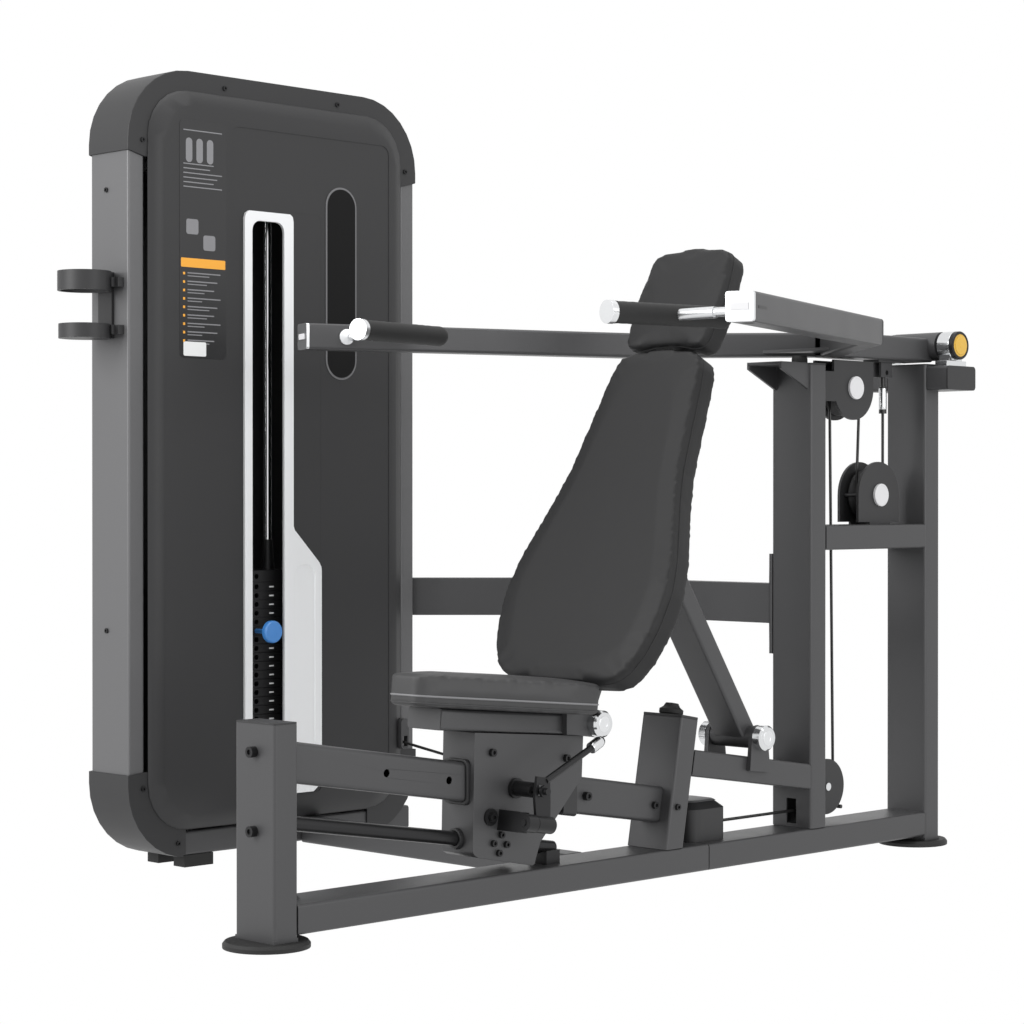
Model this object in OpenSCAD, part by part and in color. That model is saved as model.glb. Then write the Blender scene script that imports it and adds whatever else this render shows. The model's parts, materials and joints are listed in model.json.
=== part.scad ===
// Selectorised multi-position press machine: weight tower on the left,
// low frame with an inclined seat rail, a sliding seat carriage with a linked
// backrest, and an overhead lever arm on a rear pivot.
// Millimetres. X is across the machine (the tower at -X, the seat plane at
// seat_x), Y runs from the user's feet to the rear, Z is up, floor at 0.

/* [Frame] */
// Wide side of the main rectangular tube
tube_w = 100; // [96:1:100]
// Narrow side of the main rectangular tube
tube_t = 50; // [48:1:50]
// Wall of the frame tubes
wall = 3; // [2:0.5:4]
// Height of the front post
front_post_h = 364; // [355:1:372]
// Height of the main post
main_post_h = 995; // [985:1:998]
// Height of the rear post
rear_post_h = 1007; // [1000:1:1008]

/* [Seat] */
// Thickness of the seat cushion
seat_pad_t = 56; // [45:1:58]
// Thickness of the back and head cushions
back_pad_t = 56; // [45:1:57]
// Width of the seat rail
rail_w = 50; // [44:1:50]

/* [Press arm] */
// Side of the square arm tube
arm_s = 50; // [44:1:50]
// Radius of the hand grips
grip_r = 18.5; // [16:0.5:20]

/* [Tower] */
// Number of plates that rest in the stack
rest_plates = 14; // [10:1:14]
// Thickness of one weight plate
plate_t = 17.4; // [16:0.1:17.5]

/* [Hidden] */
$fn = 48;

// The whole machine is shifted so that the origin is the middle of its
// footprint on the floor.
ox = 180.08;
oy = -908.5;
seat_x = ox;

// ---- layout, measured from the front post's front face and the seat plane
fp_y = 0;             // front post
mp_y = 1378;          // main post front face
rp_y = 1761;          // rear post front face
bz0 = 21.5;           // underside of the base tubes
bz1 = 71.5;           // top of the base tubes
tilt = 9.2;           // fall of the seat rail, degrees
lean = 10.3;          // lean of the rail post, degrees
pl_y = 944.5;         // rail post, front lower edge
rail_z = 300.7;       // rail centre height at the front post's rear face
rail_h = 68;
beam_fall = 8.6;      // fall of the strut beam, degrees
S = [0, 1207.5, 265.3];   // strut pivot
B = [0, 750, 321];        // backrest pivot
pad0 = [0, 703, 415];     // foot of the back cushion's front face
pad_lean = 25.4;          // backrest lean from vertical
Tj = [0, 952, 648];       // strut to backrest pivot
P = [0, 1810, 1048];      // press arm pivot
splay = 20;               // arm splay in plan, degrees
end_c = [544.3, 569.2];   // middle of an arm's front end in plan
arm_z = 1039.6;
grip_toe = 10;
tx0 = -922; tx1 = -800;   // tower depth
ty0 = 340; ty1 = 1090;    // tower width
tz0 = 21; tz1 = 1571;
stack = [-861, 667];      // weight stack centre
stack_top = 582;
head_t = 24;
pitch = 17.9;
rod_dy = 70;
up_c = [1551, 953.8];     // upper pulley
lo_c = [1635, 735.4];     // lower pulley
ba_c = [1471, 146];       // base pulley
up_r = 50; lo_r = 45; ba_r = 42; tp_r = 45;
co_c = [-34, 1105];       // corner pulley, vertical axis
co_r = 34;
tp_z = 1470;
tr_y = 1030;              // rear run of the cable in the tower
cab_r = 3;

// ---- shapes
function rr(w, h, r, n = 4) = [for (c = [[1,1,0],[-1,1,90],[-1,-1,180],[1,-1,270]], i = [0:n])
    [c[0]*(w/2-r) + r*cos(c[2]+90*i/n), c[1]*(h/2-r) + r*sin(c[2]+90*i/n)]];
module place() translate([ox, oy, 0]) children();
module tube2(w, h, t, r = 6) difference() { polygon(rr(w, h, r)); polygon(rr(w-2*t, h-2*t, max(r-t, 1.5))); }
module up_tube(x, y, z0, z1, w, h, t = wall, r = 6) translate([x, y, z0]) linear_extrude(z1-z0) tube2(w, h, t, r);
// extrude along +Y; 2D x is X and 2D y is -Z
module along_y(x, z, y0, y1) translate([x, y0, z]) rotate([-90,0,0]) linear_extrude(y1-y0) children();
// extrude along +X; 2D x is Y and 2D y is Z
module along_x(x0, x1) translate([x0,0,0]) rotate([90,0,90]) linear_extrude(x1-x0) children();
module xcyl(x0, x1, y, z, r, r2 = -1) translate([x0, y, z]) rotate([0,90,0]) cylinder(h = x1-x0, r1 = r, r2 = r2 < 0 ? r : r2);
module ycyl(y0, y1, x, z, r) translate([x, y0, z]) rotate([-90,0,0]) cylinder(h = y1-y0, r = r);
module zcyl(z0, z1, x, y, r, r2 = -1) translate([x, y, z0]) cylinder(h = z1-z0, r1 = r, r2 = r2 < 0 ? r : r2);
module rod(p, q, r, r2 = -1) { v = q-p; l = norm(v); translate(p) rotate([0, acos(v[2]/l), atan2(v[1], v[0])]) cylinder(h = l, r1 = r, r2 = r2 < 0 ? r : r2); }
module box(a, b) translate(a) cube(b-a);
module both() { children(); mirror([1,0,0]) children(); }
// socket-head bolt along +X from plane x
module bolt_x(x, y, z, r = 7, h = 8) difference() { xcyl(x, x+h, y, z, r); xcyl(x+h-3, x+h+1, y, z, r*0.5); }
// tube swept along points; u is a direction that no part of the path follows
module sweep(pts, r, u, n = 8) {
    m = len(pts);
    function tan_(i) = let (a = pts[max(i-1,0)], b = pts[min(i+1,m-1)]) (b-a)/norm(b-a);
    ring = [for (i = [0:m-1]) let (t = tan_(i), s = cross(t, u)/norm(cross(t, u)), w = cross(s, t))
        for (k = [0:n-1]) pts[i] + r*(cos(360*k/n)*s + sin(360*k/n)*w)];
    polyhedron(points = ring, faces = concat(
        [[for (k = [n-1:-1:0]) k]], [[for (k = [0:n-1]) (m-1)*n+k]],
        [for (i = [0:m-2], k = [0:n-1]) [i*n+k, i*n+(k+1)%n, (i+1)*n+(k+1)%n, (i+1)*n+k]]), convexity = 6);
}
function arc_yz(x, c, r, a0, a1, n) = [for (i = [0:n]) let (a = a0+(a1-a0)*i/n) [x, c[0]+r*cos(a), c[1]+r*sin(a)]];
// grooved wheel about X
module sheave(x, c, r, w = 22, bore = 8.05) translate([x, c[0], c[1]]) rotate([0,90,0]) difference() {
    rotate_extrude() polygon([[0,-w/2],[r+6,-w/2],[r+6,-w/2+3],[r-cab_r-1.2,-3.6],[r-cab_r-1.2,3.6],[r+6,w/2-3],[r+6,w/2],[0,w/2]]);
    cylinder(h = w+2, r = bore, center = true);
    for (s = [-1,1]) translate([0,0,s*(w/2)]) rotate_extrude() polygon([[16,-3],[r-12,-3],[r-12,3],[16,3]]);
}

// ---- welded frame
module front_post() color([0.30,0.30,0.31]) {
    up_tube(0, fp_y+tube_t/2, 12, front_post_h, tube_w, tube_t);
    // mounting plate under the post and the gusset behind it
    difference() { box([-50,0,12],[50,50,18]); zcyl(11, 19, 0, 25, 9); }
    along_x(-4, 4) polygon([[50,bz1],[92,bz1],[50,112]]);
}
module base_rail() color([0.30,0.30,0.31]) {
    along_y(0, (bz0+bz1)/2, 50, 1067.5) tube2(tube_w, bz1-bz0, wall);
    box([-46,1064.5,25.5],[46,1067.5,67.5]);
}
module base_rail_rear() color([0.30,0.30,0.31]) {
    along_y(0, (bz0+bz1)/2, 1069.5, rp_y) tube2(tube_w, bz1-bz0, wall);
    box([-46,1067.5,25.5],[46,1072.5,67.5]);
}
module main_post() color([0.30,0.30,0.31]) {
    difference() {
        up_tube(0, mp_y+25, bz1, main_post_h, tube_w, tube_t);
        box([-12,mp_y-5,79],[12,mp_y+10,129]);
        box([-15,mp_y+40,79],[15,mp_y+60,212]);
    }
    // stop bracket in front of the post head
    both() along_x(38, 44) polygon([[mp_y,945],[mp_y,992],[1292,992],[1292,984]]);
    box([-44,1292,992],[44,mp_y,998]);
}
module rear_post() color([0.30,0.30,0.31]) {
    up_tube(0, rp_y+25, 12, rear_post_h, tube_w, tube_t);
    difference() { box([-50,rp_y,12],[50,rp_y+50,18]); zcyl(11, 19, 0, rp_y+25, 9); }
}
module base_crossbar() color([0.30,0.30,0.31])
    translate([-799,0,0]) rotate([90,0,90]) linear_extrude(749) translate([800,(bz0+bz1)/2]) tube2(50, 50, wall);
module tower_brace() color([0.30,0.30,0.31]) {
    za = 477; zb = 557;
    // outline in plan, 40 thick: along X then at 45 degrees to the tower
    o = [[-58,1380],[-58,1420],[-577,1420],[-862,1135],[-862,1093],[-846,1093],[-560,1380]];
    i = [[-50,1383],[-50,1417],[-575.8,1417],[-859,1133.8],[-859,1080],[-846.2,1097.1],[-561.2,1383]];
    difference() {
        translate([0,0,za]) linear_extrude(zb-za) polygon(o);
        translate([0,0,za+3]) linear_extrude(zb-za-6) polygon(i);
        box([-900,1060,za-5],[-840,1093,zb+5]);
    }
    // flange on the main post and flange on the tower
    difference() { box([-58,1379,416],[-50,1427,617]); for (z = [436,597]) xcyl(-60, -48, 1403, z, 6); }
    difference() { box([-900,1090,417],[-830,1096,617]); for (z = [437,597]) ycyl(1088, 1098, -888, z, 6); }
}
module rail_post() color([0.30,0.30,0.31]) difference() {
    translate([0,pl_y,bz1]) rotate([-lean,0,0]) translate([0,25,-20]) linear_extrude(270) tube2(tube_w, 50, wall);
    box([-60,pl_y-30,bz1-40],[60,pl_y+90,bz1]);
}
// keeps what is behind (side = 1) or in front (side = -1) of the rail post
module post_side(side) translate([0,pl_y,bz1]) rotate([-lean,0,0]) translate([-100, side > 0 ? 50 : -1200, -300]) cube([200, 1200, 900]);
module strut_beam() color([0.30,0.30,0.31]) {
    intersection() {
        translate([0,mp_y,175.4]) rotate([-beam_fall,0,0]) along_y(0, 0, -400, 20) tube2(tube_w, 50, wall);
        post_side(1);
        box([-60,900,0],[60,mp_y,500]);
    }
    both() difference() {
        union() { along_x(50, 60) polygon([[1178,203],[1184.5,272],[1230.5,272],[1240,196]]); xcyl(50, 60, S[1], S[2], 24); }
        xcyl(49, 61, S[1], S[2], 12.1);
    }
}
module pulley_shelf() color([0.30,0.30,0.31]) difference() {
    along_y(0, 650, mp_y+50, rp_y) tube2(tube_w, 50, wall);
    box([-14,1484,620],[14,1530,680]);
}
module bearing_crossbar() color([0.30,0.30,0.31]) difference() {
    along_x(-100, 100) translate([1814,980]) tube2(100, 50, wall);
    box([-50.3,1750,950],[50.3,1811.3,1010]);
}
module seat_rail() color([0.30,0.30,0.31]) difference() {
    intersection() {
        translate([0,50,rail_z]) rotate([-tilt,0,0]) along_y(0, 0, -20, 960) tube2(rail_w, rail_h, wall, 9);
        post_side(-1);
        box([-60,50,0],[60,1100,500]);
    }
    for (y = [265.5,410.75,556]) xcyl(10, 40, y, rail_z-(y-50)*tan(tilt), 6.6);
}
module guide_rod() color([0.62,0.63,0.64]) intersection() {
    union() {
        difference() { ycyl_t(50, 690, 195.5+33.3*0.158, 12.5); box([-20,40,150],[20,50,260]); }
        difference() { box([-22,654,bz1],[22,688,96]); ycyl_t(600, 720, 195.5+33.3*0.158, 12.5); }
    }
    box([-40,50,bz1],[40,700,300]);
}
// rod parallel to the rail, z at the front post's rear face
module ycyl_t(y0, y1, z, r) translate([0,50,z]) rotate([-tilt,0,0]) ycyl((y0-50)/cos(tilt)-4, (y1-50)/cos(tilt), 0, 0, r);
module feet() color([0.09,0.09,0.09]) {
    for (y = [25, rp_y+25]) translate([0,y,0]) rotate_extrude() polygon([[0,0],[72,0],[72,7],[68,12],[0,12]]);
    for (p = [[-820,513],[-820,1040],[-905,513],[-905,1040]]) translate([p[0]-18,p[1]-36,0]) cube([36,72,24]);
}
module post_caps() color([0.10,0.10,0.10]) {
    translate([0,25,front_post_h]) { linear_extrude(3) polygon(rr(tube_w, tube_t, 6)); translate([0,0,-12]) linear_extrude(12) polygon(rr(tube_w-2*wall-0.4, tube_t-2*wall-0.4, 3)); }
    difference() {
        translate([0,mp_y+25,main_post_h]) { linear_extrude(3) polygon(rr(tube_w, tube_t, 6)); translate([0,0,-12]) linear_extrude(12) polygon(rr(tube_w-2*wall-0.4, tube_t-2*wall-0.4, 3)); }
        box([-60,mp_y-10,990],[60,mp_y-0.1,1010]);
    }
    translate([0,rp_y+25,rear_post_h]) { linear_extrude(3) polygon(rr(tube_w, tube_t, 6)); translate([0,0,-12]) linear_extrude(12) polygon(rr(tube_w-2*wall-0.4, tube_t-2*wall-0.4, 3)); }
    translate([0,pl_y,bz1]) rotate([-lean,0,0]) translate([0,25,250]) { linear_extrude(5) polygon(rr(tube_w, tube_t, 6)); translate([0,0,-12]) linear_extrude(12) polygon(rr(tube_w-2*wall-0.4, tube_t-2*wall-0.4, 3)); }
    both() translate([100,1814,980]) rotate([90,0,90]) linear_extrude(4) polygon(rr(100, 50, 8));
}
module rubber_bumpers() color([0.08,0.08,0.08]) {
    // backrest stop on the rail post
    translate([0,pl_y,bz1]) rotate([-lean,0,0]) translate([0,25,255]) rotate_extrude() polygon([[0,0],[21,0],[23,3],[23,10],[16,15],[12,22],[0,23]]);
    // press arm stop on the bracket
    translate([0,1404,998]) rotate_extrude() polygon([[0,0],[16,0],[16,10],[14,16.2],[0,16.2]]);
    // stack cushions
    for (s = [-1,1]) translate([stack[0],stack[1]+s*rod_dy,170]) difference() { rotate_extrude() polygon([[9,0],[22,0],[24,8],[24,22],[20,29.4],[9,29.4]]); }
}
module base_pulley_cover() color([0.20,0.20,0.21]) difference() {
    union() {
        translate([-32,1105,bz1]) linear_extrude(50) polygon(rr(108, 108, 26, 6));
        hull() { translate([-32,1105,bz1+50]) linear_extrude(12) polygon(rr(108, 108, 26, 6)); translate([-32,1105,bz1+74]) linear_extrude(1) polygon(rr(76, 76, 16, 6)); }
    }
    translate([-32,1105,bz1-1]) linear_extrude(54) polygon(rr(100, 100, 22, 6));
    box([-14,1140,95],[14,1170,113]);
    box([-100,1050,93],[-62,1090,122]);
}
// ---- bearings, pulley guards, fasteners
module pillow_blocks() color([0.80,0.81,0.83]) both() difference() {
    union() {
        translate([0,0,0]) xcyl(64, 94, P[1], P[2], 30);
        box([64,1775,1005],[94,1845,1016]);
        box([66,1787,1012],[92,1833,1035]);
    }
    xcyl(60, 100, P[1], P[2], 15.05);
}
module bearing_covers() color([0.75,0.55,0.10]) both() translate([94,P[1],P[2]]) rotate([0,90,0]) rotate_extrude() polygon([[0,0],[26,0],[26,7],[23,10],[13,10],[12,12],[0,12]]);
module guard(c, r, top, ro, h) {
    // two cheek plates, flat on one end and round on the other, and spacers
    for (s = [-1,1]) translate([s*24,0,0]) rotate([90,0,90]) translate([0,0,-3]) linear_extrude(6) difference() {
        hull() { intersection() { translate([c[0]-4,c[1]]) circle(r = ro); translate([c[0]-4,c[1]-top*(100-h)]) square([200,200], center = true); } translate([c[0]-4,c[1]+top*(h-5)]) square([2*ro,10], center = true); }
        translate(c) circle(r = 8.2);
    }
    xcyl(-21, 21, c[0]-r-10.5, c[1], 3.4);
    xcyl(-21, 21, c[0]+r+9.8, c[1], 3.4);
}
module pulley_guards() color([0.09,0.09,0.10]) {
    guard(up_c, up_r, 1, 65.5, 55.2);
    guard(lo_c, lo_r, -1, 68.5, 55.4);
    both() along_x(13.5, 17) difference() { translate(ba_c) union() { circle(r = ba_r+14); translate([-46,-20]) square([20,40]); } translate([1300,0]) square([128,400]); translate(ba_c) circle(r = 8.2); }
    xcyl(-13.5, 13.5, 1523, 101, 4);
    // hangers from the main post and from the shelf
    both() box([21,1428,925],[27,1490,985]);
    both() box([21,1600,675],[27,1670,684]);
}
module pivot_caps() color([0.82,0.83,0.85]) {
    // strut pivot pin with its caps
    xcyl(-78, 78, S[1], S[2], 12);
    both() translate([60.2,S[1],S[2]]) rotate([0,90,0]) rotate_extrude() polygon([[0,0],[24.5,0],[24.5,16],[21,20],[0,20]]);
    // pulley axles with their caps
    for (c = [up_c, lo_c]) { xcyl(-30, 30, c[0], c[1], 8); both() xcyl(27, 31, c[0], c[1], 23); }
    xcyl(-22, 22, ba_c[0], ba_c[1], 8);
    zcyl(72, 122, co_c[0], co_c[1], 8);
    for (y = [tr_y-tp_r, stack[1]+tp_r]) xcyl(stack[0]-26, stack[0]+26, y, tp_z, 8);
}
module frame_bolts() color([0.12,0.12,0.13]) {
    for (z = [319,190.5]) rotate([0,0,-90]) bolt_x(0, 0, z, 9, 12);
    for (z = [436,597]) bolt_x(-66, 1403, z, 8, 8);
    for (z = [437,597]) translate([-888,1096,z]) rotate([-90,0,0]) cylinder(h = 8, r = 8);
    bolt_x(50, 976, 150, 6, 5);
    // rail bolts
    bolt_x(25, 752, 187.2, 8, 10);
    bolt_x(25, 939, 154.8, 7, 7);
    // tower screws
    for (p = [[574,1546],[871,1546],[372,1424],[1062,1424],[372,164],[1062,164],[457,50]]) bolt_x(-796.5, p[0], p[1], 5, 3);
    for (z = [470,1330]) rotate([0,0,-90]) translate([0,-870,0]) bolt_x(-ty0, 0, z, 5, 3);
}
// ---- cable that stays in place: pulleys to the tower
module cable() color([0.06,0.06,0.06]) {
    sweep(concat(
        arc_yz(0, lo_c, lo_r, 0, -180, 12),
        arc_yz(0, up_c, up_r, 0, 180, 12),
        arc_yz(0, ba_c, ba_r, 0, -90, 6),
        [[0,1400,104],[0,1250,104],[0,1110,104]]), cab_r, [1,0,0]);
    sweep(concat(
        [for (a = [0:-18:-90]) [co_c[0]+co_r*cos(a), co_c[1]+co_r*sin(a), 104]],
        [[-90,1070,108],[-300,1062,139],[-560,1052,178],[-745,1043,206],[-783,1038,213],[-812,1034,224],[-840,1031,250],[-856,1030,290],[-861,1030,330]]), cab_r, [0,0.35,1]);
    sweep(concat([[stack[0],tr_y,330],[stack[0],tr_y,900]], arc_yz(stack[0], [tr_y-tp_r,tp_z], tp_r, 0, 90, 7),
        arc_yz(stack[0], [stack[1]+tp_r,tp_z], tp_r, 90, 180, 7)), cab_r, [1,0,0]);
}
// ---- tower
module rx(x0, x1, y0, y1, z0, z1, r, n = 8) along_x(x0, x1) translate([(y0+y1)/2,(z0+z1)/2]) polygon(rr(y1-y0, z1-z0, r, n));
module tower_columns() color([0.45,0.45,0.46]) {
    intersection() {
        for (y = [ty0, ty1-38]) up_tube(-861, y+19, 72, 1420, 122, 38, wall, 5);
        rx(tx0-0.4, tx1+0.4, ty0-0.4, ty1+0.4, tz0+3.1, tz1-3.1, 144.9);
    }
    // top beam with passages for the cable, and the pulley brackets
    difference() {
        box([-891,378,1377],[-831,1052,1417]);
        box([-888,370,1380],[-834,1060,1414]);
        for (y = [stack[1], tr_y]) zcyl(1370, 1430, stack[0], y, 16);
        for (s = [-1,1]) zcyl(1370, 1381, stack[0], stack[1]+s*rod_dy, 8.6);
    }
    for (y = [tr_y-tp_r, stack[1]+tp_r], s = [-1,1]) difference() {
        box([stack[0]+s*21-3, y-20, 1417],[stack[0]+s*21+3, y+20, tp_z+18]);
        xcyl(stack[0]+s*21-5, stack[0]+s*21+5, y, tp_z, 8.2);
    }
}
module cap_shell() difference() {
    rx(tx0-3.5, tx1+3.5, ty0-3.5, ty1+3.5, tz0, tz1, 148);
    rx(tx0-0.5, tx1+0.5, ty0-0.5, ty1+0.5, tz0+3, tz1-3, 145);
    rx(tx0-10, tx1+10, ty0+46, ty1-46, tz0+54, tz1-44, 104);
}
module tower_top_cap() color([0.14,0.14,0.15]) intersection() {
    cap_shell();
    along_x(tx0-20, tx1+20) polygon([[300,1412],[376,1392],[420,1392],[1010,1392],[1054,1392],[1130,1412],[1130,1600],[300,1600]]);
}
module tower_bottom_cap() color([0.14,0.14,0.15]) difference() {
    intersection() {
        cap_shell();
        along_x(tx0-20, tx1+20) polygon([[300,188],[376,196],[420,196],[1010,196],[1054,196],[1130,188],[1130,0],[300,0]]);
    }
    box([tx0-20,476,0],[tx1+20,954,76]);
    box([tx0-20,470,0],[tx1+20,1077,26]);
    box([tx0-0.5,470,0],[tx1+0.5,1077,72.3]);
}
module tower_front_panel() color([0.13,0.13,0.14]) difference() {
    union() {
        hull() {
            rx(-796.3, -795, 383, 1047, 76, 1531, 96, 6);
            rx(-790, -789, 388, 1042, 81, 1526, 92, 6);
            rx(-779, -778, 412, 1018, 105, 1501, 72, 6);
        }
        rx(-799.4, -796.2, 398, 1032, 90, 1515, 96, 6);
    }
    hull() {
        rx(-801, -799, 402, 1028, 95, 1512, 84, 6);
        rx(-783, -782, 418, 1012, 111, 1495, 68, 6);
    }
    // slot for the selector pin
    rx(-805, -770, 624, 710, 148, 1288, 20, 4);
    // shallow field beside the label
    rx(-779, -770, 576, 999, 170, 1470, 20, 4);
    rx(-779.2, -770, 604, 811, 125, 1310, 12, 4);
    // passage of the cable
    rx(-805, -765, 1027.7, 1050.3, 196.7, 262.3, 9.3, 4);
}
module tower_rear_panel() color([0.13,0.13,0.14]) rx(-930, -926, 384, 1046, 78, 1530, 96, 6);
module slot_trim() color([0.78,0.79,0.80]) difference() {
    along_x(-779, -772) polygon([[606.5,1290],[610,1300],[618,1305],[724,1305],[731,1300],[733,1290],[733,672],[736,664],[801,598],[807,588],[808,580],[808,156],[804,142],[786,128],[616,128],[608,134],[606.5,144]]);
    rx(-790, -760, 625.5, 708.5, 150, 1286, 20, 4);
    rx(-774, -760, 735, 790, 150, 594, 26, 6);
}
module tower_base() color([0.20,0.20,0.21]) {
    for (x = [-825,-897]) along_y(x, 48, 478, 1076) tube2(50, 48, wall);
    // brackets up the inner faces of the columns
    box([-915,384,66],[-807,478,72]); box([-915,378,72],[-807,390,150]); box([-915,1040,72],[-807,1052,150]);
    // riser under the stack
    difference() { box([-911,577,72],[-811,757,170]); box([-906,570,76],[-816,765,160]); for (s = [-1,1]) zcyl(150, 171, stack[0], stack[1]+s*rod_dy, 8.6); }
    // cable grommet
    difference() { rx(-783, -771, 1028, 1050, 197, 262, 9, 4); box([-790,1032,203],[-760,1046,225]); }
}
module stack_guide_rods() color([0.85,0.86,0.88]) for (s = [-1,1]) zcyl(161, 1380, stack[0], stack[1]+s*rod_dy, 8.5);
module plate(z1, t, hole = 5.3) difference() {
    box([-911,562,z1-t],[-811,772,z1]);
    zcyl(z1-t-1, z1+1, stack[0], stack[1], 11);
    for (s = [-1,1]) zcyl(z1-t-1, z1+1, stack[0], stack[1]+s*rod_dy, 9.2);
    if (hole > 0) xcyl(-866, -800, stack[1], z1-t/2, hole);
}
module resting_plates() color([0.10,0.10,0.11]) for (k = [7:6+rest_plates]) plate(stack_top-head_t-(k-1)*pitch, plate_t);
module lifted_plates() color([0.10,0.10,0.11]) {
    difference() {
        union() { plate(stack_top, head_t-0.5, 0); zcyl(stack_top-head_t-(6+rest_plates)*pitch+6, stack_top+26, stack[0], stack[1], 10); }
        for (k = [1:6+rest_plates]) xcyl(-880, -840, stack[1], stack_top-head_t-(k-0.5)*pitch+0.25, 5.3);
        xcyl(-863, -800, stack[1], stack_top-11.75, 5.3);
    }
    for (k = [1:6]) plate(stack_top-head_t-(k-1)*pitch, plate_t);
    for (s = [-1,1]) translate([stack[0],stack[1]+s*rod_dy,stack_top]) rotate_extrude() polygon([[9.2,0],[15,0],[14,4],[10.6,62],[9.2,62]]);
    // plates hang on the stem through its collar
    for (k = [1:6]) zcyl(stack_top-head_t-(k-1)*pitch-0.6, stack_top-head_t-(k-1)*pitch+0.2, stack[0]-30, stack[1]+30, 4);
}
module stack_cable() color([0.06,0.06,0.06]) {
    sweep([for (i = [0:8]) [stack[0],stack[1],tp_z-i*(tp_z-stack_top-60)/8]], cab_r, [1,0,0]);
    zcyl(stack_top+26, stack_top+66, stack[0], stack[1], 7);
}
module selector_pin() color([0.16,0.36,0.70]) {
    pz = stack_top-head_t-5.5*pitch+0.25;
    xcyl(-870.3, -775, stack[1], pz, 4.8);
    translate([-780,stack[1],pz]) rotate([0,90,0]) rotate_extrude() polygon([[0,0],[9,0],[10,4],[12,8],[20,11],[22.5,14],[22.5,22],[20,26],[0,27]]);
}
module cup_holder() color([0.12,0.12,0.13]) {
    translate([-868,286,1130]) difference() { cylinder(h = 38, r = 52); translate([0,0,-1]) cylinder(h = 40, r = 46.5); }
    translate([-868,286,1038]) difference() { cylinder(h = 28, r = 50); translate([0,0,5]) cylinder(h = 30, r = 45); }
    box([-890,334,1040],[-846,ty0,1168]);
    for (z = [1046,1138]) box([-846,326,z],[-814,ty0,z+18]);
    for (z = [1046,1138]) box([-828,318,z],[-824,330,z+18]);
}
// ---- seat carriage
module rail_slot(w, h) translate([0,50,rail_z]) rotate([-tilt,0,0]) along_y(0, 0, 0, 1000) polygon(rr(w, h, 9));
module carriage_box() color([0.31,0.31,0.32]) difference() {
    along_x(-40, 40) polygon([[457.5,322.6],[452.5,117],[456,110],[466,104.5],[600,77.5],[606,80],[609,90],[619.9,116.6],[668.8,165.2],[727.4,224.1],[731,299.2]]);
    along_x(-34, 34) polygon([[463.5,316.5],[458.6,120],[468,110],[598,84],[604,92],[614,119.5],[740,232],[740,293]]);
    rail_slot(60, 78);
    ycyl_t(400, 480, 195.5+33.3*0.158, 18);
    xcyl(30, 50, 556, 218.7, 8);
    box([-20,570,70],[20,640,130]);
}
module carriage_bushings() color([0.07,0.07,0.07]) {
    for (y = [448, 690]) intersection() {
        difference() { rail_slot(59.4, 77.4); rail_slot(51, 69); }
        translate([0,0,0]) box([-50,y,100],[50,y+36,400]);
    }
    intersection() {
        difference() { union() { ycyl_t(440, 500, 195.5+33.3*0.158, 17.6); } ycyl_t(420, 540, 195.5+33.3*0.158, 12.9); }
        box([-30,444,100],[30,478,200]);
    }
}
module carriage_bolts() color([0.13,0.13,0.14]) {
    bolt_x(40, 498.2, 285.3, 7, 7);
    bolt_x(40, 684.8, 262, 7, 7);
    xcyl(40, 44, 494.2, 173.1, 15); bolt_x(44, 494.2, 173.1, 8, 7);
    for (p = [[520.5,139.6],[501.6,126.4],[533.3,121.6],[514.6,108.4]]) bolt_x(40, p[0], p[1], 6, 6);
    mirror([1,0,0]) { bolt_x(40, 498.2, 285.3, 7, 7); bolt_x(40, 684.8, 262, 7, 7); bolt_x(40, 494.2, 173.1, 8, 7); }
}
seat_a = 4.9;
module seat_tilt() translate([0,328,374]) rotate([-seat_a,0,0]) children();
module seat_frame() color([0.31,0.31,0.32]) {
    seat_tilt() translate([0,0,-19]) difference() {
        along_y(0, -0.6, 50, 372) tube2(86, 37.6, wall, 7);
    }
    seat_tilt() box([-40,49,-37],[40,52,-2]);
    // hinge ears and their base
    both() difference() {
        union() { along_x(43, 55) polygon([[672,343.5],[672,306],[730,300],[756,297],[770,310],[770,334],[752,345],[712,344],[700,342]]); xcyl(43, 55, B[1], B[2], 25); }
        xcyl(42, 56, B[1], B[2], 12.1);
    }
}
// plan outline of the seat cushion: narrow rounded nose, wide rear
seat_o = [[26,-6],[36,0],[43,10],[120,300],[122,320],[122,352],[114,364],[-114,364],[-122,352],[-122,320],[-120,300],[-43,10],[-36,0],[-26,-6]];
module seat_pad() color([0.12,0.12,0.12]) seat_tilt() {
    translate([0,0,0]) linear_extrude(seat_pad_t) polygon(seat_o);
}
module lock_pin_housing() color([0.10,0.10,0.11]) {
    difference() { xcyl(27.5, 88, 556, 218.7, 13.5); xcyl(20, 90, 556, 218.7, 6.35); translate([0,0,0]) box([20,530,190],[40,540,240]); xcyl(26, 40.2, 556, 218.7, 20); }
    difference() { xcyl(40, 46, 556, 218.7, 18); xcyl(20, 90, 556, 218.7, 6.35); }
    // lever bracket, bored for the lever's pin
    translate([0,520,166]) rotate([-tilt,0,0]) difference() {
        union() { box([40,-6,-18],[92,16,18]); ycyl(-6, 18, 103, 0, 16); box([90,-6,-16],[103,16,16]); }
        ycyl(-20, 24, 103, 0, 6.1);
    }
}
module release_lever() color([0.11,0.11,0.12]) translate([0,520,166]) rotate([-tilt,0,0]) {
    difference() {
        union() { ycyl(20, 62, 103, 0, 15); along_x(100, 106) polygon([[24,0],[58,0],[52,40],[44,82],[12,82],[12,46]]); }
        box([95,18,49],[112,36.5,68]);
    }
    ycyl(-8, 22, 103, 0, 6);
    rod([103,37,76], [104,146,146], 6);
    rod([104,145,145], [104,163,157], 9.5);
    translate([104,163,157]) sphere(r = 9.5);
}
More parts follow.
